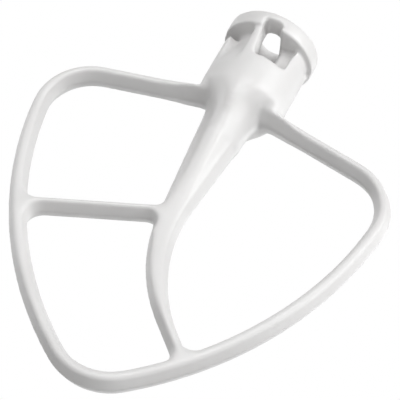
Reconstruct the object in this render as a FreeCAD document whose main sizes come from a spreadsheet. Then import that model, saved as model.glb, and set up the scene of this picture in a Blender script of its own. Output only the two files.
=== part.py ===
"""Flat beater of a stand mixer: one coated casting, modelled as one solid.

The part's own frame has its origin at the centre of the shaft bore's mouth, on top of the hub.
Z points up along the hub's axis, X runs across the paddle, and the front, with the pin's
window, faces -Y. The paddle's parting plane is the XZ plane. Lengths are in millimetres.
"""

import FreeCAD
import Part
import math
import os

from FreeCAD import Vector

NODE = "flat_beater"

# Driving sizes: alias, value and what it measures
SIZES = [
    ("bore_radius", 6.45, "shaft bore, a running fit on a half-inch shaft"),
    ("bore_depth", 34.0, "shaft bore, from its mouth to its floor"),
    ("collar_radius", 20.6, "collar round the mouth"),
    ("collar_height", 8.0, "collar, from its top to its underside"),
    ("collar_round", 1.2, "rounded top edge of the collar"),
    ("hub_radius", 19.1, "hub below the collar"),
    ("hub_bottom", 35.0, "depth at which the hub starts to draw in"),
    ("neck_bottom", 62.0, "depth at which the neck ends inside the stem"),
    ("neck_radius", 8.4, "neck where it ends inside the stem"),
    ("rim_thickness", 4.2, "collar left over the pin's window"),
    ("pin_notch_reach", 10.5, "entry notch of the pin, from the axis"),
    ("pin_notch_radius", 4.0, "rounded end of the entry notch"),
    ("pin_notch_offset", 0.8, "entry notch, its middle to the right of the axis"),
    ("window_left", -3.4, "window, left edge at its top"),
    ("window_lean", 2.4, "window, how far its left edge leans in"),
    ("window_slot_right", 4.7, "window, right edge of the entry slot"),
    ("window_bore_right", 6.3, "window, how far to the right it opens the bore"),
    ("window_right", 13.1, "window, right edge below the collar"),
    ("window_bottom", 22.4, "window, depth of its bottom edge"),
    ("window_back", 4.3, "entry slot, its back in front of the axis"),
    ("pocket_back", 7.8, "pocket right of the slot, its back in front of the axis"),
    ("window_round", 2.6, "window, rounded lower right corner"),
    ("recess_wall_radius", 13.8, "bottom of the recess left of the window"),
    ("recess_gap", 4.0, "gap between the collar and the left shoulder"),
    ("recess_right", -19.5, "recess, bearing of its edge beside the window, degrees"),
    ("recess_left", -56.0, "recess, bearing of its edge at the left shoulder, degrees"),
    ("recess_end", -100.0, "gap under the collar, bearing of its end, degrees"),
    ("recess_run_out", 29.0, "depth at which the recess fades out"),
    ("relief_radius", 15.0, "relief right of the window, under the collar"),
    ("relief_run_out", 24.0, "depth at which the relief fades out"),
    ("relief_offset", 2.8, "relief, its axis to the right of the hub's"),
    ("relief_start", -8.0, "relief, bearing of its start from its own axis, degrees"),
    ("relief_end", 100.0, "relief, bearing of its end from its own axis, degrees"),
    ("frame_offset", 0.4, "paddle's middle, right of the hub's axis"),
    ("arm_drop", 33.8, "top edges of the arms where they would meet"),
    ("arm_droop", 11.3, "slope of the arms, degrees"),
    ("arm_width", 6.6, "arms at the parting line"),
    ("shoulder_radius", 26.1, "outer corner between arm and side"),
    ("shoulder_inner", 18.8, "inner corner between arm and side"),
    ("side_reach", 81.6, "furthest reach of the sides' circles"),
    ("side_radius", 162.0, "sides' circles"),
    ("side_drop", 52.2, "centres of the sides' circles"),
    ("side_width", 7.6, "sides at the parting line"),
    ("tip_radius", 27.5, "bottom of the paddle, outside"),
    ("tip_inner", 20.9, "bottom of the paddle, inside"),
    ("frame_depth", 11.8, "paddle, front to back"),
    ("draft", 20.0, "draft of every wall from the parting plane, degrees"),
    ("arm_root_depth", 17.0, "arms beside the hub, front to back"),
    ("arm_flare", 34.0, "distance from the axis where the arms start to deepen"),
    ("arm_zone", 45.0, "depth down to which the arms may be deeper than the paddle"),
    ("stem_left", -10.9, "stem's left edge at the stem mark"),
    ("stem_right", 9.8, "stem's right edge at the stem mark"),
    ("stem_mark", 56.0, "depth at which the stem's edges are given"),
    ("stem_left_lean", 4.9, "lean of the stem's left edge, degrees"),
    ("stem_right_lean", 6.4, "lean of the stem's right edge, degrees"),
    ("rib_angle", 45.0, "lower run of the rib, degrees from level"),
    ("rib_foot", 0.857, "rib's left edge on the right side, as a share of its arc"),
    ("rib_width", 6.3, "lower run of the rib"),
    ("rib_bend_left", 72.0, "bend of the rib's left edge"),
    ("rib_bend_right", 68.0, "bend of the rib's right edge"),
    ("bar_slope", 20.9, "crossbar, degrees from level"),
    ("bar_foot", 0.504, "crossbar's middle on the left side, as a share of its arc"),
    ("bar_width", 5.8, "crossbar at the parting line"),
    ("stem_start", 43.0, "depth at which the stem's swelling starts, inside the hub"),
    ("stem_front", 9.6, "stem's front from the parting plane, at the top"),
    ("stem_front_low", 5.3, "stem's front from the parting plane, at the bottom"),
    ("stem_flat", 2.7, "half width of the flat on the stem"),
    ("stem_bow", 0.62, "bowed flank, where its middle lies between edge and flat"),
    ("stem_belly", 0.69, "bowed flank, its middle as a share of the stem's front"),
    ("stem_run_out", 11.2, "stem's swelling, its end below the start of the rib's bend"),
    ("stem_tuck", 0.5, "swelling's edges inside the stem's, at the top"),
    ("stem_tuck_low", 1.7, "swelling's edges inside the stem's, at the bottom"),
    ("round_arm_left", 1.8, "corner under the left arm"),
    ("round_arm_right", 3.6, "corner under the right arm"),
    ("round_bar_stem", 3.0, "corners between crossbar and stem"),
    ("round_bar_top", 4.5, "corner between crossbar and side, above"),
    ("round_bar_low", 6.0, "corner between crossbar and side, below"),
    ("round_rib_left", 3.6, "corner between rib and paddle, left"),
    ("round_rib_right", 5.0, "corner between rib and paddle, right"),
]

# The neck's sections between hub and stem: share of its height, then the shares of the hub's
# surplus over the neck's end that are left across and from front to back
NECK = (
    (0.0, 1.0, 1.0),
    (0.12, 0.95, 0.93),
    (0.26, 0.70, 0.76),
    (0.41, 0.36, 0.52),
    (0.63, 0.13, 0.25),
    (1.0, 0.0, 0.0),
)


def make_sheet(doc):
    """Put the driving sizes into a spreadsheet, one alias to a row."""
    sheet = doc.addObject("Spreadsheet::Sheet", "Sizes")
    for row, (alias, value, note) in enumerate(SIZES, start=1):
        sheet.set("A%d" % row, alias)
        sheet.set("B%d" % row, repr(value))
        sheet.set("C%d" % row, note)
        sheet.setAlias("B%d" % row, alias)
    doc.recompute()
    return sheet


# Plane geometry of the outlines, in (x, z)
class Side:
    """A straight side through a point, walked in a direction given in degrees."""

    def __init__(self, x, z, heading):
        self.point = Vector(x, z, 0)
        angle = math.radians(heading)
        self.along = Vector(math.cos(angle), math.sin(angle), 0)
        self.left = Vector(-self.along.y, self.along.x, 0)

    def shifted(self, distance):
        """Return the same side moved to its left."""
        moved = Side(0, 0, 0)
        moved.point = self.point + self.left * distance
        moved.along = self.along
        moved.left = self.left
        return moved

    def foot(self, point):
        """Return the nearest point on the side."""
        return self.point + self.along * (point - self.point).dot(self.along)

    def edge(self, start, end):
        """Return the sketch line between two points of the side."""
        return Part.LineSegment(start, end)


class Round:
    """A full circle walked anticlockwise, with its centre on the left."""

    def __init__(self, x, z, radius):
        self.centre = Vector(x, z, 0)
        self.radius = radius

    def shifted(self, distance):
        """Return the same circle moved to its left, which shrinks it."""
        return Round(self.centre.x, self.centre.y, self.radius - distance)

    def foot(self, point):
        """Return the nearest point on the circle."""
        return self.centre + (point - self.centre).normalize() * self.radius

    def edge(self, start, end):
        """Return the sketch arc from start anticlockwise to end."""
        return arc(self.centre, self.radius, start, end)


class Hollow(Round):
    """A full circle walked clockwise, with its centre on the right."""

    def shifted(self, distance):
        """Return the same circle moved to its left, which widens it."""
        return Hollow(self.centre.x, self.centre.y, self.radius + distance)

    def edge(self, start, end):
        """Return the sketch arc from start clockwise to end."""
        return arc(self.centre, self.radius, end, start)


def arc(centre, radius, start, end):
    """Return an anticlockwise sketch arc between two points round a centre."""
    circle = Part.Circle(centre, Vector(0, 0, 1), radius)
    first = math.atan2(start.y - centre.y, start.x - centre.x)
    last = math.atan2(end.y - centre.y, end.x - centre.x)
    if last < first:
        last += 2 * math.pi
    return Part.ArcOfCircle(circle, first, last)


def meet(one, other, near):
    """Return where two sides cross, the crossing nearest to a point."""
    if isinstance(one, Round) and isinstance(other, Side):
        one, other = other, one
    if isinstance(one, Side) and isinstance(other, Side):
        across = one.along.cross(other.along).z
        reach = (other.point - one.point).cross(other.along).z / across
        return one.point + one.along * reach
    if isinstance(one, Side):
        middle = one.foot(other.centre)
        half = math.sqrt(other.radius ** 2 - (middle - other.centre).Length ** 2)
        found = [middle + one.along * half, middle - one.along * half]
    else:
        gap = other.centre - one.centre
        reach = (gap.Length ** 2 + one.radius ** 2 - other.radius ** 2) / (2 * gap.Length)
        half = math.sqrt(one.radius ** 2 - reach ** 2)
        along = Vector(gap).normalize()
        left = Vector(-along.y, along.x, 0)
        found = [one.centre + along * reach + left * half,
                 one.centre + along * reach - left * half]
    return min(found, key=lambda point: (point - near).Length)


def rounded_loop(corners):
    """Return the sketch edges of a closed outline walked with its inside on the left.

    Each corner is (side before it, side after it, rounding radius, a point near it). Zero
    leaves it sharp, and None joins a straight side to a round one that it touches.
    """
    ends = []
    for before, after, radius, near in corners:
        if radius is None:
            touch = before.foot(after.centre)
            ends.append((touch, touch, touch))
            continue
        centre = meet(before.shifted(radius), after.shifted(radius), near)
        ends.append((before.foot(centre), after.foot(centre), centre))
    edges = []
    for index, (before, after, radius, near) in enumerate(corners):
        leave, enter, centre = ends[index]
        edges.append(before.edge(ends[index - 1][1], leave))
        if radius:
            edges.append(arc(centre, radius, leave, enter))
    return edges


def origin_plane(body, role):
    """Return one of the body's own origin planes."""
    return next(item for item in body.Origin.OriginFeatures if item.Role == role)


def new_sketch(body, role, name, edges, offset=None):
    """Add a sketch on an origin plane of the body and fill it with edges."""
    sketch = body.newObject("Sketcher::SketchObject", name)
    sketch.AttachmentSupport = [(origin_plane(body, role), "")]
    sketch.MapMode = "FlatFace"
    if offset is not None:
        sketch.AttachmentOffset = offset
    sketch.addGeometry(edges, False)
    return sketch


def polygon(*points):
    """Return the sketch lines of a closed polygon."""
    corners = [Vector(x, y, 0) for x, y in points]
    return [Part.LineSegment(a, b) for a, b in zip(corners, corners[1:] + corners[:1])]


def oval(across, deep):
    """Return four bowed quarters of the oval with these half axes along x and y."""
    turn = math.radians(45)
    edges = []
    for hand, face in ((1, 1), (-1, 1), (-1, -1), (1, -1)):
        side = Vector(hand * across, 0, 0)
        belly = Vector(hand * across * math.cos(turn), face * deep * math.sin(turn), 0)
        end = Vector(0, face * deep, 0)
        corners = (side, belly, end) if hand == face else (end, belly, side)
        edges.append(Part.Arc(*corners))
    return edges


class Beater:
    """The casting, feature by feature."""

    def __init__(self, doc, sheet):
        self.doc = doc
        self.sheet = sheet
        self.body = doc.addObject("PartDesign::Body", "FlatBeater")
        self.body.Label = NODE

    def size(self, alias):
        """Return a driving size."""
        return float(self.sheet.get(alias))

    def bind(self, feature, **cells):
        """Bind properties of a feature to cells of the sheet."""
        for name, cell in cells.items():
            feature.setExpression(name, cell)

    def side_circle(self, hand, inset):
        """Return the circle of the right (+1) or left (-1) side, inset from the outside."""
        radius = self.size("side_radius")
        x = self.size("frame_offset") + hand * (self.size("side_reach") - radius)
        return Round(x, -self.size("side_drop"), radius - inset)

    def arm_line(self, hand, inset):
        """Return the edge of the right (+1) or left (-1) arm, walked from right to left."""
        droop = self.size("arm_droop")
        x = self.size("frame_offset")
        heading = 180 - hand * droop
        line = Side(x, -self.size("arm_drop"), heading)
        return line.shifted(inset)

    def stem_edge(self, hand):
        """Return the right (+1) edge walked down or the left (-1) edge walked up."""
        if hand > 0:
            return Side(self.size("stem_right"), -self.size("stem_mark"),
                        -90 - self.size("stem_right_lean"))
        return Side(self.size("stem_left"), -self.size("stem_mark"),
                    90 + self.size("stem_left_lean"))

    def foot(self, hand, share):
        """Return the point at a share of the inside arc from the side's widest to the tip."""
        side = self.side_circle(hand, self.size("side_width"))
        tip = self.side_circle(hand, self.size("tip_radius"))
        middle = self.size("frame_offset")
        sweep = math.acos(abs(middle - tip.centre.x) / tip.radius)
        turn = sweep * self.size(share)
        return side.centre + Vector(hand * math.cos(turn), -math.sin(turn), 0) * side.radius

    def rib_edge(self, hand):
        """Return the right (+1) edge walked down or the left (-1) edge walked up."""
        angle = self.size("rib_angle")
        foot = self.foot(1, "rib_foot")
        left = Side(foot.x, foot.y, 180 - angle)
        if hand < 0:
            return left
        right = left.shifted(-self.size("rib_width"))
        return Side(right.point.x, right.point.y, -angle)

    def rib_bend(self):
        """Return the left edge of the bend between the rib and the stem, walked up."""
        radius = self.size("rib_bend_left")
        rib = self.rib_edge(-1)
        stem = self.stem_edge(-1)
        centre = meet(rib.shifted(-radius), stem.shifted(-radius), stem.point)
        return Hollow(centre.x, centre.y, radius)

    def bar_edge(self, hand):
        """Return the upper (+1) edge walked right or the lower (-1) edge walked left."""
        slope = self.size("bar_slope")
        half = self.size("bar_width") / 2
        foot = self.foot(-1, "bar_foot")
        heading = slope if hand > 0 else slope + 180
        return Side(foot.x, foot.y, heading).shifted(half)

    def outline(self):
        """Return the outer edges of the paddle at the parting plane."""
        right = self.side_circle(1, 0)
        left = self.side_circle(-1, 0)
        arm_right = self.arm_line(1, 0)
        arm_left = self.arm_line(-1, 0)
        shoulder = self.size("shoulder_radius")
        reach = self.size("side_reach")
        middle = self.size("frame_offset")
        top = -self.size("side_drop")
        return rounded_loop([
            (right, arm_right, shoulder, Vector(reach, top, 0)),
            (arm_right, arm_left, 0, Vector(middle, top, 0)),
            (arm_left, left, shoulder, Vector(-reach, top, 0)),
            (left, right, self.size("tip_radius"), Vector(middle, top - 2 * reach, 0)),
        ])

    def window_right(self):
        """Return the edges of the large opening to the right of stem and rib."""
        stem = self.stem_edge(1)
        rib = self.rib_edge(1)
        side = self.side_circle(1, self.size("side_width"))
        arm = self.arm_line(1, self.size("arm_width"))
        low = self.foot(1, "rib_foot")
        reach = self.size("side_reach")
        top = -self.size("side_drop")
        return rounded_loop([
            (stem, rib, self.size("rib_bend_right"), low),
            (rib, side, self.size("round_rib_right"), low),
            (side, arm, self.size("shoulder_inner"), Vector(reach, top, 0)),
            (arm, stem, self.size("round_arm_right"), stem.point),
        ])

    def window_upper_left(self):
        """Return the edges of the opening between the left arm and the crossbar."""
        arm = self.arm_line(-1, self.size("arm_width"))
        side = self.side_circle(-1, self.size("side_width"))
        bar = self.bar_edge(1)
        stem = self.stem_edge(-1)
        reach = self.size("side_reach")
        return rounded_loop([
            (arm, side, self.size("shoulder_inner"), Vector(-reach, -self.size("side_drop"), 0)),
            (side, bar, self.size("round_bar_top"), self.foot(-1, "bar_foot")),
            (bar, stem, self.size("round_bar_stem"), stem.point),
            (stem, arm, self.size("round_arm_left"), stem.point),
        ])

    def window_lower_left(self):
        """Return the edges of the opening between the crossbar, the rib and the tip."""
        bar = self.bar_edge(-1)
        left = self.side_circle(-1, self.size("side_width"))
        right = self.side_circle(1, self.size("side_width"))
        rib = self.rib_edge(-1)
        bend = self.rib_bend()
        stem = self.stem_edge(-1)
        tip = Vector(self.size("frame_offset"), -2 * self.size("side_reach"), 0)
        return rounded_loop([
            (bar, left, self.size("round_bar_low"), self.foot(-1, "bar_foot")),
            (left, right, self.size("tip_inner"), tip),
            (right, rib, self.size("round_rib_left"), self.foot(1, "rib_foot")),
            (rib, bend, None, None),
            (bend, bar, self.size("round_bar_stem"), stem.point),
        ])

    def paddle(self):
        """Pad the paddle both ways from the parting plane and pocket its three openings."""
        sketch = new_sketch(self.body, "XZ_Plane", "PaddleOutline", self.outline())
        pad = self.body.newObject("PartDesign::Pad", "Paddle")
        pad.Profile = sketch
        pad.SideType = "Two sides"
        self.bind(pad, Length="Sizes.arm_root_depth / 2", Length2="Sizes.arm_root_depth / 2",
                  TaperAngle="-Sizes.draft", TaperAngle2="-Sizes.draft")
        openings = (("Right", self.window_right()), ("UpperLeft", self.window_upper_left()),
                    ("LowerLeft", self.window_lower_left()))
        for name, edges in openings:
            sketch = new_sketch(self.body, "XZ_Plane", name + "Outline", edges)
            pocket = self.body.newObject("PartDesign::Pocket", name + "Opening")
            pocket.Profile = sketch
            pocket.SideType = "Two sides"
            self.bind(pocket, Length="Sizes.arm_root_depth / 2 + 1",
                      Length2="Sizes.arm_root_depth / 2 + 1",
                      TaperAngle="Sizes.draft", TaperAngle2="Sizes.draft")

    def trim_depth(self):
        """Cut the paddle to its depth, leaving the arms deeper beside the hub."""
        thick = self.size("arm_root_depth") / 2 + 1
        thin = self.size("frame_depth") / 2
        root = self.size("arm_root_depth") / 2
        hub = self.size("hub_radius")
        flare = self.size("arm_flare")
        reach = self.size("side_reach") + abs(self.size("frame_offset")) + 1
        edges = []
        for hand in (1, -1):
            for face in (1, -1):
                tail = Vector(hand * flare, face * thin, 0)
                head = Vector(hand * hub, face * root, 0)
                slope = (root - thin) / (flare - hub)
                belly = Vector(hand * (hub + flare) / 2,
                               face * (thin + slope * (flare - hub) / 4), 0)
                corners = [tail, Vector(hand * reach, face * thin, 0),
                           Vector(hand * reach, face * thick, 0),
                           Vector(hand * hub, face * thick, 0), head]
                for start, end in zip(corners, corners[1:]):
                    edges.append(Part.LineSegment(start, end))
                edges.append(Part.Arc(head, belly, tail))
        sketch = new_sketch(self.body, "XY_Plane", "ArmFlare", edges)
        cut = self.body.newObject("PartDesign::Pocket", "ArmTrim")
        cut.Profile = sketch
        self.bind(cut, Length="Sizes.arm_zone")
        low = -2 * self.size("side_reach") - self.size("side_drop")
        top = -self.size("arm_zone")
        edges = polygon((thin, low), (thick, low), (thick, top), (thin, top))
        edges += polygon((-thin, low), (-thick, low), (-thick, top), (-thin, top))
        sketch = new_sketch(self.body, "YZ_Plane", "PaddleFaces", edges)
        cut = self.body.newObject("PartDesign::Pocket", "FaceTrim")
        cut.Profile = sketch
        cut.SideType = "Symmetric"
        self.bind(cut, Length="4 * Sizes.side_reach")

    def stem(self):
        """Swell the stem fore and aft with a loft that runs out inside the rib."""
        sections = []
        bend = self.stem_edge(-1).foot(self.rib_bend().centre)
        end = self.size("stem_run_out") - bend.y
        levels = (("StemTop", self.size("stem_start"), "stem_front", "stem_tuck"),
                  ("StemFoot", end, "stem_front_low", "stem_tuck_low"))
        for name, depth, front, tuck in levels:
            ground = Side(0, -depth, 0)
            right = meet(self.stem_edge(1), ground, ground.point).x - self.size(tuck)
            left = meet(self.stem_edge(-1), ground, ground.point).x + self.size(tuck)
            sections.append(self.stem_section(name, depth, left, right, self.size(front)))
        loft = self.body.newObject("PartDesign::AdditiveLoft", "Stem")
        loft.Profile = sections[0]
        loft.Sections = [sections[1]]
        loft.Ruled = True

    def stem_section(self, name, depth, left, right, front):
        """Return a sketch of the stem's section at a depth: two flats and four bowed flanks."""
        middle = (left + right) / 2
        flat = self.size("stem_flat")
        inward = 1 - self.size("stem_bow")
        edges = []
        for face in (-front, front):
            belly = face * self.size("stem_belly")
            near = Vector(middle - flat, face, 0)
            far = Vector(middle + flat, face, 0)
            edges += [
                Part.Arc(Vector(left, 0, 0),
                         Vector(left + (near.x - left) * inward, belly, 0), near),
                Part.LineSegment(near, far),
                Part.Arc(far, Vector(right + (far.x - right) * inward, belly, 0),
                         Vector(right, 0, 0)),
            ]
        offset = FreeCAD.Placement(Vector(0, 0, -depth), FreeCAD.Rotation())
        return new_sketch(self.body, "XY_Plane", name, edges, offset)

    def hub(self):
        """Revolve the hub with its collar."""
        collar = self.size("collar_radius")
        height = self.size("collar_height")
        rounding = self.size("collar_round")
        radius = self.size("hub_radius")
        bottom = self.size("hub_bottom")
        turn = math.radians(45)
        crown = Vector(collar - rounding * (1 - math.cos(turn)),
                       -rounding * (1 - math.sin(turn)), 0)
        edges = [
            Part.LineSegment(Vector(0, 0, 0), Vector(collar - rounding, 0, 0)),
            Part.Arc(Vector(collar - rounding, 0, 0), crown, Vector(collar, -rounding, 0)),
            Part.LineSegment(Vector(collar, -rounding, 0), Vector(collar, -height, 0)),
            Part.LineSegment(Vector(collar, -height, 0), Vector(radius, -height, 0)),
            Part.LineSegment(Vector(radius, -height, 0), Vector(radius, -bottom, 0)),
            Part.LineSegment(Vector(radius, -bottom, 0), Vector(0, -bottom, 0)),
            Part.LineSegment(Vector(0, -bottom, 0), Vector(0, 0, 0)),
        ]
        sketch = new_sketch(self.body, "XZ_Plane", "HubProfile", edges)
        hub = self.body.newObject("PartDesign::Revolution", "Hub")
        hub.Profile = sketch
        hub.ReferenceAxis = (sketch, ["V_Axis"])
        hub.Angle = 360

    def neck(self):
        """Loft the neck from the hub's round end down into the stem."""
        top = self.size("hub_bottom")
        height = self.size("neck_bottom") - top
        slim = self.size("neck_radius")
        surplus = self.size("hub_radius") - slim
        sections = []
        for index, (drop, across, deep) in enumerate(NECK):
            edges = oval(slim + surplus * across, slim + surplus * deep)
            offset = FreeCAD.Placement(Vector(0, 0, -top - height * drop), FreeCAD.Rotation())
            sections.append(new_sketch(self.body, "XY_Plane", "Neck%d" % index, edges, offset))
        loft = self.body.newObject("PartDesign::AdditiveLoft", "Neck")
        loft.Profile = sections[0]
        loft.Sections = sections[1:]

    def recess(self):
        """Groove the recess to the left of the window, which leaves a shoulder beside it."""
        radius = self.size("hub_radius") + 1
        collar = self.size("collar_height")
        wall = self.size("recess_wall_radius")
        gap = self.size("recess_gap")
        fade = self.size("recess_run_out")
        first = self.size("recess_right")
        slot = polygon((wall, -collar), (radius, -collar), (radius, -collar - gap),
                       (wall, -collar - gap))
        ramp = polygon((wall, -collar), (radius, -collar), (radius, -fade),
                       (self.size("hub_radius"), -fade), (wall, -collar - gap))
        self.groove("Gap", slot, first, self.size("recess_end"))
        self.groove("Ramp", ramp, first, self.size("recess_left"))

    def relief(self):
        """Groove the shallow relief to the right, round an axis beside the hub's."""
        wall = self.size("relief_radius")
        radius = self.size("hub_radius")
        collar = self.size("collar_height")
        fade = self.size("relief_run_out")
        edges = polygon((wall, -collar), (radius + 1, -collar), (radius + 1, -fade),
                        (radius, -fade))
        self.groove("Relief", edges, self.size("relief_start"), self.size("relief_end"),
                    self.size("relief_offset"))

    def groove(self, name, edges, first, last, across=0.0):
        """Groove a profile round an axis between two bearings, measured from the front."""
        turn = FreeCAD.Rotation(Vector(0, 1, 0), (first + last) / 2 - 90)
        sketch = new_sketch(self.body, "XZ_Plane", name + "Profile", edges,
                            FreeCAD.Placement(Vector(across, 0, 0), turn))
        groove = self.body.newObject("PartDesign::Groove", name)
        groove.Profile = sketch
        groove.ReferenceAxis = (sketch, ["V_Axis"])
        groove.Midplane = True
        groove.Angle = abs(last - first)

    def window(self):
        """Cut the pin's entry slot into the bore and the pocket to its right."""
        left = self.size("window_left")
        lean = self.size("window_lean")
        slot = self.size("window_slot_right")
        right = self.size("window_right")
        rim = self.size("rim_thickness")
        collar = self.size("collar_height")
        bottom = self.size("window_bottom")
        rounding = self.size("window_round")
        wide = self.size("window_bore_right")
        slot_edges = polygon((left, -rim), (left + lean, -bottom), (wide, -bottom),
                             (wide, -collar), (slot, -collar), (slot, -rim))
        self.front_cut("EntrySlot", slot_edges, "window_back")
        corner = Vector(right - rounding, rounding - bottom, 0)
        low = Vector(corner.x, -bottom, 0)
        side = Vector(right, corner.y, 0)
        top = Vector(right, -collar, 0)
        edges = [
            Part.LineSegment(Vector(slot - 1, -bottom, 0), low),
            arc(corner, rounding, low, side),
            Part.LineSegment(side, top),
            Part.LineSegment(top, Vector(slot - 1, -collar, 0)),
            Part.LineSegment(Vector(slot - 1, -collar, 0), Vector(slot - 1, -bottom, 0)),
        ]
        self.front_cut("PinPocket", edges, "pocket_back")

    def front_cut(self, name, edges, back):
        """Cut a profile forward from a plane in front of the axis, out through the hub."""
        start = FreeCAD.Placement(Vector(0, 0, self.size(back)), FreeCAD.Rotation())
        sketch = new_sketch(self.body, "XZ_Plane", name + "Outline", edges, start)
        cut = self.body.newObject("PartDesign::Pocket", name)
        cut.Profile = sketch
        cut.Reversed = True
        self.bind(cut, Length="Sizes.collar_radius")

    def bore(self):
        """Bore the hub for the shaft and notch the bore's mouth for the pin."""
        centre = Vector(0, 0, 0)
        sketch = new_sketch(self.body, "XY_Plane", "BoreOutline",
                            [Part.Circle(centre, Vector(0, 0, 1), self.size("bore_radius"))])
        cut = self.body.newObject("PartDesign::Pocket", "ShaftBore")
        cut.Profile = sketch
        self.bind(cut, Length="Sizes.bore_depth")
        radius = self.size("pin_notch_radius")
        middle = self.size("pin_notch_offset")
        end = radius - self.size("pin_notch_reach")
        left = middle - radius
        right = middle + radius
        edges = [
            Part.LineSegment(Vector(right, 0, 0), Vector(left, 0, 0)),
            Part.LineSegment(Vector(left, 0, 0), Vector(left, end, 0)),
            arc(Vector(middle, end, 0), radius, Vector(left, end, 0), Vector(right, end, 0)),
            Part.LineSegment(Vector(right, end, 0), Vector(right, 0, 0)),
        ]
        sketch = new_sketch(self.body, "XY_Plane", "NotchOutline", edges)
        cut = self.body.newObject("PartDesign::Pocket", "PinNotch")
        cut.Profile = sketch
        self.bind(cut, Length="Sizes.rim_thickness + 1")

    def build(self):
        """Build the casting and return its body."""
        steps = (self.paddle, self.trim_depth, self.stem, self.hub, self.neck, self.recess,
                 self.relief, self.window, self.bore)
        for step in steps:
            step()
            self.doc.recompute()
            shape = self.body.Shape
            print("%-12s volume %10.1f  faces %3d  valid %s" %
                  (step.__name__, shape.Volume, len(shape.Faces), shape.isValid()))
        return self.body


def check(doc, bodies):
    """Stop if an object failed or a shape is not one valid solid."""
    for item in doc.Objects:
        if "Invalid" in item.State or "Error" in item.State:
            raise RuntimeError("%s failed: %s" % (item.Name, item.State))
    for body in bodies:
        shape = body.Shape
        if shape.isNull() or not shape.isValid() or len(shape.Solids) != 1:
            raise RuntimeError("%s is not one valid solid" % body.Label)


def main():
    """Build the document and write each piece."""
    doc = FreeCAD.newDocument("Beater")
    sheet = make_sheet(doc)
    bodies = [Beater(doc, sheet).build()]
    doc.recompute()
    check(doc, bodies)
    os.makedirs("parts", exist_ok=True)
    for body in bodies:
        body.Shape.exportStep("parts/%s.step" % body.Label)
        box = body.Shape.BoundBox
        print("%s %.1f x %.1f x %.1f mm, %.0f mm3" %
              (body.Label, box.XLength, box.YLength, box.ZLength, body.Shape.Volume))


main()
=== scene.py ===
"""Studio picture of a stand mixer's flat beater, dressed from its packed casting.

The casting is one coated piece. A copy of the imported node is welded, its skin is laid again in
an even net of faces, its neck is drawn into the cast blend, and its edges are softened as a
baked coating softens them. Everything stands in the part's own frame: Z up along the hub, the
front facing -Y. Lengths are in metres, and in millimetres where a class says so.
"""

from __future__ import annotations

import logging
import math
from dataclasses import dataclass
from enum import Enum

import bmesh
import bpy
from mathutils import Matrix, Vector

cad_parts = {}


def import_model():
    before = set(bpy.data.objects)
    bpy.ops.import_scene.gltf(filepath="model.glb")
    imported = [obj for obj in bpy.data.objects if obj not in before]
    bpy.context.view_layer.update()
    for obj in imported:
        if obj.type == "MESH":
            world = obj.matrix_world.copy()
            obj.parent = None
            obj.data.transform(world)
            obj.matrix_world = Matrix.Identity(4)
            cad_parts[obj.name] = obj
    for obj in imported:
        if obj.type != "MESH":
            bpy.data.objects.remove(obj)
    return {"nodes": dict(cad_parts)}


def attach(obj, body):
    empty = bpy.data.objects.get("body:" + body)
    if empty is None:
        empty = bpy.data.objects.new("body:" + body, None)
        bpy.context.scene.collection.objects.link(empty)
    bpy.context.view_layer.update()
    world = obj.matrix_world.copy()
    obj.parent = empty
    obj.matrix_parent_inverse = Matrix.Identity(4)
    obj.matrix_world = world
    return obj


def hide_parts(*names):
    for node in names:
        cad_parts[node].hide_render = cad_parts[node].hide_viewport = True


LOG = logging.getLogger("flat_beater")
CASTING_NODE = "flat_beater"
MM = 0.001

Rows = tuple[tuple[float, float], ...]


def placed(name: str, data: bpy.types.ID) -> bpy.types.Object:
    """Make an object and put it into the scene.

    Args:
        name: The object's name.
        data: Its mesh, lamp or camera.

    Returns:
        The object.
    """
    thing = bpy.data.objects.new(name, data)
    bpy.context.scene.collection.objects.link(thing)
    return thing


def outward(bearing: float, height: float) -> Vector:
    """Return the direction from the beater to something that looks at it.

    Args:
        bearing: Degrees round from the front, counted towards the right.
        height: Degrees above the level, negative below it.

    Returns:
        A vector one long.
    """
    turn = math.radians(bearing)
    rise = math.radians(height)
    return Vector((math.sin(turn) * math.cos(rise), -math.cos(turn) * math.cos(rise),
                   math.sin(rise)))


def along(table: Rows, place: float) -> float:
    """Read a table of (place, value) rows, listed with falling places, between its rows.

    Args:
        table: The rows.
        place: Where to read.

    Returns:
        The value there, which stays level beyond both ends.
    """
    if place >= table[0][0]:
        return table[0][1]
    for (upper, high), (lower, low) in zip(table, table[1:]):
        if place >= lower:
            share = (upper - place) / (upper - lower)
            return high + (low - high) * share
    return table[-1][1]


def eased(value: float) -> float:
    """Return a share from 0 to 1 with a soft start and a soft end."""
    share = min(max(value, 0.0), 1.0)
    return share * share * (3.0 - 2.0 * share)


@dataclass(frozen=True)
class SoftLamp:
    """A square soft box that looks at the beater.

    Attributes:
        name: The lamp's name.
        bearing: Degrees round from the front, counted towards the right.
        height: Degrees above the level.
        watts: Its power.
        side: Length of its side.
        distance: How far it stands from the point that it looks at.
    """

    name: str
    bearing: float
    height: float
    watts: float
    side: float = 1.2
    distance: float = 2.0

    def build(self, target: Vector) -> None:
        """Place the lamp.

        Args:
            target: The point that the lamp looks at.
        """
        data = bpy.data.lights.new(self.name, "AREA")
        data.shape = "SQUARE"
        data.size = self.side
        data.energy = self.watts
        out = outward(self.bearing, self.height)
        lamp = placed(self.name, data)
        lamp.location = target + out * self.distance
        lamp.rotation_mode = "QUATERNION"
        lamp.rotation_quaternion = out.to_track_quat("Z", "Y")


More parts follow.
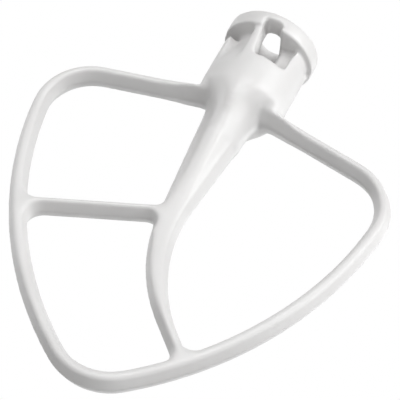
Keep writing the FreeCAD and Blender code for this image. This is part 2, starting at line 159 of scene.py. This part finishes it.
class NodeSheet:
    """A node tree with short calls to add and join nodes."""

    def __init__(self, tree: bpy.types.NodeTree) -> None:
        """Keep the tree that the calls work on."""
        self.tree = tree

    @classmethod
    def group(cls, name: str, inputs: dict[str, str], output: str) -> NodeSheet:
        """Start a node group that puts out one value.

        Args:
            name: The group's name.
            inputs: The socket type of each input, by the input's name.
            output: The output's name.

        Returns:
            The sheet of the new group.
        """
        tree = bpy.data.node_groups.new(name, "ShaderNodeTree")
        for label, kind in inputs.items():
            tree.interface.new_socket(label, in_out="INPUT", socket_type=kind)
        tree.interface.new_socket(output, in_out="OUTPUT", socket_type="NodeSocketFloat")
        return cls(tree)

    def add(self, kind: str, inputs: dict[str | int, object] | None = None,
            **values: object) -> bpy.types.Node:
        """Add a node and set it.

        Args:
            kind: The node's type name.
            inputs: Values of its inputs, by name or number.
            **values: Properties of the node.

        Returns:
            The node.
        """
        node = self.tree.nodes.new(kind)
        for name, value in values.items():
            setattr(node, name, value)
        for name, value in (inputs or {}).items():
            node.inputs[name].default_value = value
        return node

    def join(self, start: bpy.types.NodeSocket, end: bpy.types.NodeSocket) -> None:
        """Link an output to an input."""
        self.tree.links.new(start, end)


@dataclass(frozen=True)
class CoatingEffects:
    """The node groups that the finishes share.

    Attributes:
        peel_detail: How fine the orange peel's noise goes.
        peel_roughness: How strong its fine part is.
        wave_detail: How fine the casting's waviness goes.
        wave_share: How much higher the waves stand than the peel.
        cloud_detail: How fine the cloudiness goes.
        cloud_low: Noise value that counts as the thinnest coating.
        cloud_high: Noise value that counts as the thickest coating.
    """

    peel_detail: float = 1.5
    peel_roughness: float = 0.45
    wave_detail: float = 1.0
    wave_share: float = 3.0
    cloud_detail: float = 3.0
    cloud_low: float = 0.35
    cloud_high: float = 0.65

    def ripple(self) -> bpy.types.NodeTree:
        """Build the orange peel of a baked coating over a slightly wavy casting.

        Returns:
            A group with the inputs Vector, Peel Scale and Wave Scale and the output Height.
        """
        sheet = NodeSheet.group("CoatingRipple", {
            "Vector": "NodeSocketVector",
            "Peel Scale": "NodeSocketFloat",
            "Wave Scale": "NodeSocketFloat",
        }, "Height")
        entry = sheet.add("NodeGroupInput")
        leave = sheet.add("NodeGroupOutput")
        peel = sheet.add("ShaderNodeTexNoise", {
            "Detail": self.peel_detail,
            "Roughness": self.peel_roughness,
        }, noise_dimensions="3D")
        wave = sheet.add("ShaderNodeTexNoise", {"Detail": self.wave_detail},
                         noise_dimensions="3D")
        mix = sheet.add("ShaderNodeMath", {1: self.wave_share}, operation="MULTIPLY_ADD")
        sheet.join(entry.outputs["Vector"], peel.inputs["Vector"])
        sheet.join(entry.outputs["Vector"], wave.inputs["Vector"])
        sheet.join(entry.outputs["Peel Scale"], peel.inputs["Scale"])
        sheet.join(entry.outputs["Wave Scale"], wave.inputs["Scale"])
        sheet.join(wave.outputs["Fac"], mix.inputs[0])
        sheet.join(peel.outputs["Fac"], mix.inputs[2])
        sheet.join(mix.outputs["Value"], leave.inputs["Height"])
        return sheet.tree

    def mottle(self) -> bpy.types.NodeTree:
        """Build the faint cloudiness of a coating's thickness.

        Returns:
            A group with the inputs Vector, Scale, Low and High and the output Value.
        """
        sheet = NodeSheet.group("CoatingMottle", {
            "Vector": "NodeSocketVector",
            "Scale": "NodeSocketFloat",
            "Low": "NodeSocketFloat",
            "High": "NodeSocketFloat",
        }, "Value")
        entry = sheet.add("NodeGroupInput")
        leave = sheet.add("NodeGroupOutput")
        cloud = sheet.add("ShaderNodeTexNoise", {"Detail": self.cloud_detail},
                          noise_dimensions="3D")
        spread = sheet.add("ShaderNodeMapRange", {
            "From Min": self.cloud_low,
            "From Max": self.cloud_high,
        }, clamp=True)
        sheet.join(entry.outputs["Vector"], cloud.inputs["Vector"])
        sheet.join(entry.outputs["Scale"], cloud.inputs["Scale"])
        sheet.join(cloud.outputs["Fac"], spread.inputs["Value"])
        sheet.join(entry.outputs["Low"], spread.inputs["To Min"])
        sheet.join(entry.outputs["High"], spread.inputs["To Max"])
        sheet.join(spread.outputs["Result"], leave.inputs["Value"])
        return sheet.tree


@dataclass(frozen=True)
class BakedCoating:
    """The white coating baked onto the casting.

    Attributes:
        name: The material's name.
        light: The coating's colour.
        deep: Its colour in the clouds, a little darker.
        gloss_low: The lowest roughness.
        gloss_high: The highest roughness.
        tone_scale: Scale of the clouds in the colour.
        gloss_fineness: How much finer the clouds in the roughness are.
        peel_scale: Scale of the orange peel.
        wave_scale: Scale of the waviness.
        bump: Strength of both in the surface.
        bump_depth: Their height.
        coat: Weight of the glossy top layer.
        coat_roughness: Its roughness.
    """

    name: str = "baked_white_coating"
    light: tuple[float, float, float, float] = (0.80, 0.795, 0.79, 1.0)
    deep: tuple[float, float, float, float] = (0.77, 0.762, 0.757, 1.0)
    gloss_low: float = 0.34
    gloss_high: float = 0.44
    tone_scale: float = 45.0
    gloss_fineness: float = 2.3
    peel_scale: float = 900.0
    wave_scale: float = 60.0
    bump: float = 0.05
    bump_depth: float = 0.12 * MM
    coat: float = 0.25
    coat_roughness: float = 0.22

    def build(self, ripple: bpy.types.NodeTree, mottle: bpy.types.NodeTree) -> bpy.types.Material:
        """Build the material.

        Args:
            ripple: The group that gives the coating's relief.
            mottle: The group that gives the coating's cloudiness.

        Returns:
            The material.
        """
        material = bpy.data.materials.new(self.name)
        material.use_nodes = True
        tree = material.node_tree
        tree.nodes.clear()
        sheet = NodeSheet(tree)
        output = sheet.add("ShaderNodeOutputMaterial")
        shader = sheet.add("ShaderNodeBsdfPrincipled", {
            "Coat Roughness": self.coat_roughness,
            "Coat Weight": self.coat,
        })
        place = sheet.add("ShaderNodeTexCoord")
        relief = sheet.add("ShaderNodeGroup", {
            "Peel Scale": self.peel_scale,
            "Wave Scale": self.wave_scale,
        }, node_tree=ripple)
        bump = sheet.add("ShaderNodeBump", {
            "Strength": self.bump,
            "Distance": self.bump_depth,
        })
        cloud = sheet.add("ShaderNodeGroup", {
            "Scale": self.tone_scale,
            "Low": 0.0,
            "High": 1.0,
        }, node_tree=mottle)
        tone = sheet.add("ShaderNodeMix", {"A": self.light, "B": self.deep}, data_type="RGBA")
        gloss = sheet.add("ShaderNodeGroup", {
            "Scale": self.tone_scale * self.gloss_fineness,
            "Low": self.gloss_low,
            "High": self.gloss_high,
        }, node_tree=mottle)
        for effect in (relief, cloud, gloss):
            sheet.join(place.outputs["Object"], effect.inputs["Vector"])
        sheet.join(cloud.outputs["Value"], tone.inputs["Factor"])
        sheet.join(tone.outputs["Result"], shader.inputs["Base Color"])
        sheet.join(gloss.outputs["Value"], shader.inputs["Roughness"])
        sheet.join(relief.outputs["Height"], bump.inputs["Height"])
        sheet.join(bump.outputs["Normal"], shader.inputs["Normal"])
        sheet.join(shader.outputs["BSDF"], output.inputs["Surface"])
        return material


@dataclass(frozen=True)
class NeckForm:
    """The cast blend that carries the hub's front down into the stem. All in millimetres.

    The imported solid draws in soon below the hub. The cast one keeps its depth further down and
    hugs the stem under the arms, so the skin is moved out in depth and in across.

    Attributes:
        fronts: Rows of height and how far the cast front stands out from the hub's axis.
        surplus: Rows of height and the share that stays of what stands beyond the stem's edge.
        squeeze: Rows of height and the share that stays of the flanks' width.
        flank_start: Depth at which the flanks begin, in front and behind.
        flank_width: Depth over which they come in.
        stem_mark: Height at which the stem's edges are given.
        stem_right: The stem's right edge there, from the hub's axis.
        stem_right_lean: Lean of that edge, in degrees.
        stem_left: The stem's left edge there.
        stem_left_lean: Lean of that edge, in degrees.
        arm_low: Height of the arms' underside where it would meet the axis.
        arm_droop: Slope of that underside, in degrees.
        arm_half_depth: Half of an arm's depth, front to back.
        draft: Taper of the arms' walls, in degrees.
        reach: How far the shaping goes beyond the front's widest place.
        fade: How far the added depth fades out beyond the stem's edge.
        soft_edge: Width over which an arm's edge counts as neither in nor out.
        middle_band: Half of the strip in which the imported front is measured.
        step: Height of one level of that measure.
    """

    fronts: Rows = (
        (-35.0, 19.1), (-40.0, 19.0), (-44.0, 18.6), (-48.0, 17.3), (-53.0, 15.0),
        (-60.0, 12.8), (-70.0, 10.6), (-82.0, 8.4), (-94.0, 6.6),
    )
    surplus: Rows = (
        (-36.0, 1.0), (-38.0, 0.75), (-40.0, 0.45), (-42.0, 0.22), (-44.0, 0.1), (-54.0, 0.1),
    )
    squeeze: Rows = (
        (-38.0, 1.0), (-41.0, 0.95), (-44.0, 0.9), (-49.0, 0.9), (-54.0, 0.95), (-60.0, 1.0),
    )
    flank_start: float = 2.0
    flank_width: float = 5.0
    stem_mark: float = -56.0
    stem_right: float = 9.8
    stem_right_lean: float = 6.4
    stem_left: float = 10.9
    stem_left_lean: float = 4.9
    arm_low: float = -40.5
    arm_droop: float = 11.3
    arm_half_depth: float = 8.5
    draft: float = 20.0
    reach: float = 5.0
    fade: float = 2.5
    soft_edge: float = 0.6
    middle_band: float = 1.5
    step: float = 1.0

    def stem_edge(self, hand: float, z: float) -> float:
        """Return how far the stem reaches to one side of the hub's axis at a height.

        Args:
            hand: 1 for the right side, -1 for the left.
            z: The height.

        Returns:
            The distance from the axis.
        """
        edge, lean = self.stem_left, self.stem_left_lean
        if hand > 0:
            edge, lean = self.stem_right, self.stem_right_lean
        return edge + (z - self.stem_mark) * math.tan(math.radians(lean))

    def in_arm(self, x: float, y: float, z: float) -> float:
        """Return how far inside an arm a point lies.

        Args:
            x: The point's place across.
            y: Its place in depth.
            z: Its height.

        Returns:
            A share from 0, outside, to 1, inside.
        """
        low = self.arm_low - abs(x) * math.tan(math.radians(self.arm_droop))
        low += abs(y) * math.tan(math.radians(self.draft))
        above = eased((z - low) / self.soft_edge + 1.0)
        within = eased((self.arm_half_depth - abs(y)) / self.soft_edge + 1.0)
        return above * within

    def packed_fronts(self, skin: bpy.types.Mesh) -> Rows:
        """Measure how far the skin's front stands out at its middle.

        Args:
            skin: The skin before its neck is shaped.

        Returns:
            Rows of height and depth, the highest first.
        """
        fronts: dict[int, float] = {}
        for vertex in skin.vertices:
            x, y, z = vertex.co / MM
            if abs(x) < self.middle_band and y < 0:
                level = round(z / self.step)
                fronts[level] = max(fronts.get(level, 0.0), -y)
        return tuple((level * self.step, fronts[level]) for level in sorted(fronts, reverse=True))

    def moved(self, x: float, y: float, z: float, packed: Rows) -> tuple[float, float]:
        """Return where a point of the skin goes.

        Args:
            x: The point's place across.
            y: Its place in depth.
            z: Its height.
            packed: Rows of height and depth of the skin's front as it is.

        Returns:
            The point's new place across and its new place in depth.
        """
        hand = 1.0 if x > 0 else -1.0
        edge = self.stem_edge(hand, z)
        beyond = max(abs(x) - edge, 0.0)
        free = 1.0 - self.in_arm(x, y, z)
        keep = 1.0 + (along(self.surplus, z) - 1.0) * free
        flank = eased((abs(y) - self.flank_start) / self.flank_width) * free
        slim = 1.0 + (along(self.squeeze, z) - 1.0) * flank
        growth = along(self.fronts, z) / along(packed, z) - 1.0
        near = 1.0 - eased(abs(x) / (edge + self.fade))
        return (hand * (abs(x) - beyond * (1.0 - keep)) * slim,
                y * (1.0 + max(growth, 0.0) * near))

    def shape(self, skin: bpy.types.Mesh) -> None:
        """Move the skin of the neck into its cast form.

        Args:
            skin: The even net of the casting, which is changed.
        """
        packed = self.packed_fronts(skin)
        top, widest = self.fronts[0]
        bottom = self.fronts[-1][0]
        for vertex in skin.vertices:
            x, y, z = vertex.co / MM
            if bottom < z < top and abs(x) <= widest + self.reach:
                across, deep = self.moved(x, y, z, packed)
                vertex.co.x = across * MM
                vertex.co.y = deep * MM


class Zone(Enum):
    """Parts of the casting whose edges are eased more than the rest."""

    NECK = "neck"
    WINDOW = "window"


@dataclass(frozen=True)
class ZoneReach:
    """How far a zone reaches and over what width its easing comes in. All in millimetres.

    Attributes:
        low: The zone's lowest height.
        low_fade: Height over which the easing comes in above it.
        side: How far the zone reaches to either side of the hub's axis.
        side_fade: Width over which the easing comes in from there.
        high: The zone's highest height.
        high_fade: Height over which the easing comes in below it.
        front: Depth at which the zone ends towards the back.
        front_fade: Depth over which the easing comes in before it.
        most: The share of the easing in the zone's middle.
    """

    low: float
    low_fade: float
    side: float
    side_fade: float
    high: float = math.inf
    high_fade: float = 1.0
    front: float = math.inf
    front_fade: float = 1.0
    most: float = 1.0

    def weight(self, place: Vector) -> float:
        """Return how much of the zone's easing a point takes.

        Args:
            place: The point.

        Returns:
            A share from 0 to the zone's most.
        """
        rise = eased((place.z - self.low) / self.low_fade)
        fall = eased((self.high - place.z) / self.high_fade)
        ahead = eased((self.front - place.y) / self.front_fade)
        side = eased((self.side - abs(place.x)) / self.side_fade)
        return rise * fall * ahead * side * self.most


ZONE_REACHES = {
    Zone.NECK: ZoneReach(low=-64.0, low_fade=8.0, side=24.0, side_fade=6.0,
                         high=-31.0, high_fade=4.0),
    Zone.WINDOW: ZoneReach(low=-27.0, low_fade=3.0, side=17.0, side_fade=3.0,
                           front=-5.0, front_fade=2.0, most=0.5),
}


@dataclass(frozen=True)
class Casting:
    """The beater's one casting, with the softened skin that its coating gives it.

    Attributes:
        node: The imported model's object.
        name: The piece's name.
        weld: Distance within which loose corners are joined.
        net: Size of the even net's faces.
        passes: How often the whole skin is smoothed.
        zone_passes: How often a zone is smoothed before that.
        ease: How far one pass moves a point towards its neighbours.
    """

    node: bpy.types.Object
    name: str = "flat_beater_casting"
    weld: float = 0.002 * MM
    net: float = 0.66 * MM
    passes: int = 8
    zone_passes: int = 30
    ease: float = 0.5

    def welded(self) -> bpy.types.Mesh:
        """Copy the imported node's mesh and join its loose triangles.

        Returns:
            The closed skin.
        """
        form = bmesh.new()
        form.from_mesh(self.node.data)
        bmesh.ops.remove_doubles(form, verts=form.verts[:], dist=self.weld)
        mesh = bpy.data.meshes.new(self.name)
        form.to_mesh(mesh)
        form.free()
        return mesh

    def relaid(self, mesh: bpy.types.Mesh) -> bpy.types.Mesh:
        """Lay a skin again in an even net of faces.

        Args:
            mesh: The closed skin, which is used up.

        Returns:
            The skin in its new net.
        """
        draft = placed(self.name + "_draft", mesh)
        lay = draft.modifiers.new("net", "REMESH")
        lay.mode = "VOXEL"
        lay.voxel_size = self.net
        lay.use_smooth_shade = True
        return self.finished(draft)

    def softened(self, mesh: bpy.types.Mesh) -> bpy.types.Mesh:
        """Soften the edges of a skin, and more so in the zones that have broad blends.

        Args:
            mesh: The skin in its even net, which is used up.

        Returns:
            The softened skin.
        """
        draft = placed(self.name + "_draft", mesh)
        for zone in Zone:
            group = draft.vertex_groups.new(name=zone.value)
            for vertex in mesh.vertices:
                weight = ZONE_REACHES[zone].weight(vertex.co / MM)
                if weight > 0.0:
                    group.add([vertex.index], weight, "REPLACE")
            soften = self.eased_by(draft, self.zone_passes)
            soften.vertex_group = zone.value
        self.eased_by(draft, self.passes)
        return self.finished(draft)

    def eased_by(self, draft: bpy.types.Object, passes: int) -> bpy.types.Modifier:
        """Put one more softening on a draft.

        Args:
            draft: The skin's object.
            passes: How often the softening is repeated.

        Returns:
            The softening, which works on the whole skin.
        """
        soften = draft.modifiers.new("soften", "SMOOTH")
        soften.factor = self.ease
        soften.iterations = passes
        return soften

    def finished(self, draft: bpy.types.Object) -> bpy.types.Mesh:
        """Take the mesh that a draft's modifiers give, and clear the draft away.

        Args:
            draft: The skin's object.

        Returns:
            The mesh.
        """
        graph = bpy.context.evaluated_depsgraph_get()
        mesh = bpy.data.meshes.new_from_object(draft.evaluated_get(graph))
        bpy.data.objects.remove(draft)
        mesh.name = self.name
        return mesh

    def build(self, coating: bpy.types.Material) -> bpy.types.Object:
        """Make the casting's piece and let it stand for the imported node.

        Args:
            coating: The material of the whole casting.

        Returns:
            The piece.
        """
        skin = self.relaid(self.welded())
        NeckForm().shape(skin)
        skin = self.softened(self.relaid(skin))
        skin.materials.clear()
        skin.materials.append(coating)
        piece = placed(self.name, skin)
        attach(piece, "root")
        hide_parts(CASTING_NODE)
        return piece


@dataclass(frozen=True)
class PictureCamera:
    """The picture's camera: in front, to the right and below, and turned on its own axis.

    Its aim, distance and lens are in millimetres, and its angles in degrees.
    """

    bearing: float = 15.6213
    height: float = -31.4663
    turn: float = 29.6827
    aim: tuple[float, float, float] = (5.5774, 0.0, -89.1325)
    distance: float = 789.46
    lens: float = 173.655
    sensor: float = 36.0
    nearest: float = 50.0
    furthest: float = 50_000.0

    def build(self) -> None:
        """Place the camera and make it the scene's own."""
        bearing = math.radians(self.bearing)
        back = outward(self.bearing, self.height)
        level = Vector((math.cos(bearing), math.sin(bearing), 0.0))
        rise = back.cross(level)
        turn = math.radians(self.turn)
        right = level * math.cos(turn) + rise * math.sin(turn)
        upward = rise * math.cos(turn) - level * math.sin(turn)
        data = bpy.data.cameras.new("picture_camera")
        data.sensor_width = self.sensor
        data.lens = self.lens
        data.clip_start = self.nearest * MM
        data.clip_end = self.furthest * MM
        camera = placed("picture_camera", data)
        place = Matrix((right, upward, back)).transposed().to_4x4()
        place.translation = (Vector(self.aim) + back * self.distance) * MM
        camera.matrix_world = place
        bpy.context.scene.camera = camera


@dataclass(frozen=True)
class Studio:
    """A plain pale floor, a white surround and soft lamps.

    Attributes:
        floor_drop: How far the floor lies below the top of the hub.
        floor_side: Its size.
        floor_cells: Its faces along each side.
        floor_tone: Its paper's grey, where 1 is white.
        floor_roughness: Its paper's roughness.
        fill: Strength of the light from all round.
        fill_tint: Colour of that light.
        white: Colour of the surround where it is seen or mirrored.
        aim: The point that the lamps look at.
        lamps: The soft boxes, fitted one by one to the photograph's tones.
    """

    floor_drop: float = 1.5
    floor_side: float = 14.0
    floor_cells: int = 4
    floor_tone: float = 0.9
    floor_roughness: float = 0.9
    fill: float = 0.02
    fill_tint: tuple[float, float, float, float] = (1.0, 0.985, 0.98, 1.0)
    white: tuple[float, float, float, float] = (1.0, 1.0, 1.0, 1.0)
    aim: tuple[float, float, float] = (0.0, 0.0, -0.09)
    lamps: tuple[SoftLamp, ...] = (
        SoftLamp("front", 0.0, 15.0, 16.4),
        SoftLamp("front_right", 50.0, 20.0, 20.1),
        SoftLamp("right", 90.0, 10.0, 12.6),
        SoftLamp("back_right", 140.0, 20.0, 6.2),
        SoftLamp("left", -90.0, 10.0, 5.1),
        SoftLamp("front_left", -45.0, 15.0, 6.4),
        SoftLamp("low_right", 70.0, -40.0, 4.5),
        SoftLamp("low_left", -70.0, -40.0, 2.9),
        SoftLamp("low_back", 180.0, -40.0, 3.9),
    )

    def lay_floor(self) -> None:
        """Lay the floor, far enough down to stay out of the picture taken from below."""
        form = bmesh.new()
        bmesh.ops.create_grid(form, x_segments=self.floor_cells, y_segments=self.floor_cells,
                              size=self.floor_side / 2)
        bmesh.ops.translate(form, verts=form.verts[:], vec=(0.0, 0.0, -self.floor_drop))
        mesh = bpy.data.meshes.new("studio_floor")
        form.to_mesh(mesh)
        form.free()
        paper = bpy.data.materials.new("floor_paper")
        paper.use_nodes = True
        shader = paper.node_tree.nodes["Principled BSDF"]
        shader.inputs["Base Color"].default_value = (self.floor_tone,) * 3 + (1.0,)
        shader.inputs["Roughness"].default_value = self.floor_roughness
        mesh.materials.append(paper)
        placed("studio_floor", mesh)

    def surround(self) -> None:
        """Make the surround white where it is seen or mirrored, and a soft fill otherwise."""
        world = bpy.data.worlds.new("studio_surround")
        bpy.context.scene.world = world
        world.use_nodes = True
        tree = world.node_tree
        tree.nodes.clear()
        sheet = NodeSheet(tree)
        output = sheet.add("ShaderNodeOutputWorld")
        light = sheet.add("ShaderNodeBackground", {
            "Color": self.fill_tint,
            "Strength": self.fill,
        })
        white = sheet.add("ShaderNodeBackground", {"Color": self.white, "Strength": 1.0})
        path = sheet.add("ShaderNodeLightPath")
        seen = sheet.add("ShaderNodeMath", operation="ADD", use_clamp=True)
        mirrored = sheet.add("ShaderNodeMath", operation="ADD", use_clamp=True)
        blend = sheet.add("ShaderNodeMixShader")
        sheet.join(path.outputs["Is Camera Ray"], seen.inputs[0])
        sheet.join(path.outputs["Is Glossy Ray"], seen.inputs[1])
        sheet.join(seen.outputs["Value"], mirrored.inputs[0])
        sheet.join(path.outputs["Is Transmission Ray"], mirrored.inputs[1])
        sheet.join(mirrored.outputs["Value"], blend.inputs[0])
        sheet.join(light.outputs["Background"], blend.inputs[1])
        sheet.join(white.outputs["Background"], blend.inputs[2])
        sheet.join(blend.outputs["Shader"], output.inputs["Surface"])

    def build(self) -> None:
        """Set the studio up."""
        self.lay_floor()
        self.surround()
        for lamp in self.lamps:
            lamp.build(Vector(self.aim))
        bpy.context.scene.view_settings.view_transform = "Standard"


def main(frame: dict) -> None:
    """Build the picture.

    Args:
        frame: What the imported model's loader returned.
    """
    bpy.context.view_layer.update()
    effects = CoatingEffects()
    coating = BakedCoating().build(effects.ripple(), effects.mottle())
    casting = Casting(frame["nodes"][CASTING_NODE]).build(coating)
    LOG.info("%s: %d faces", casting.name, len(casting.data.polygons))
    Studio().build()
    PictureCamera().build()


if __name__ == "__main__":
    logging.basicConfig(level=logging.INFO, format="%(name)s: %(message)s")
    main(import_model())
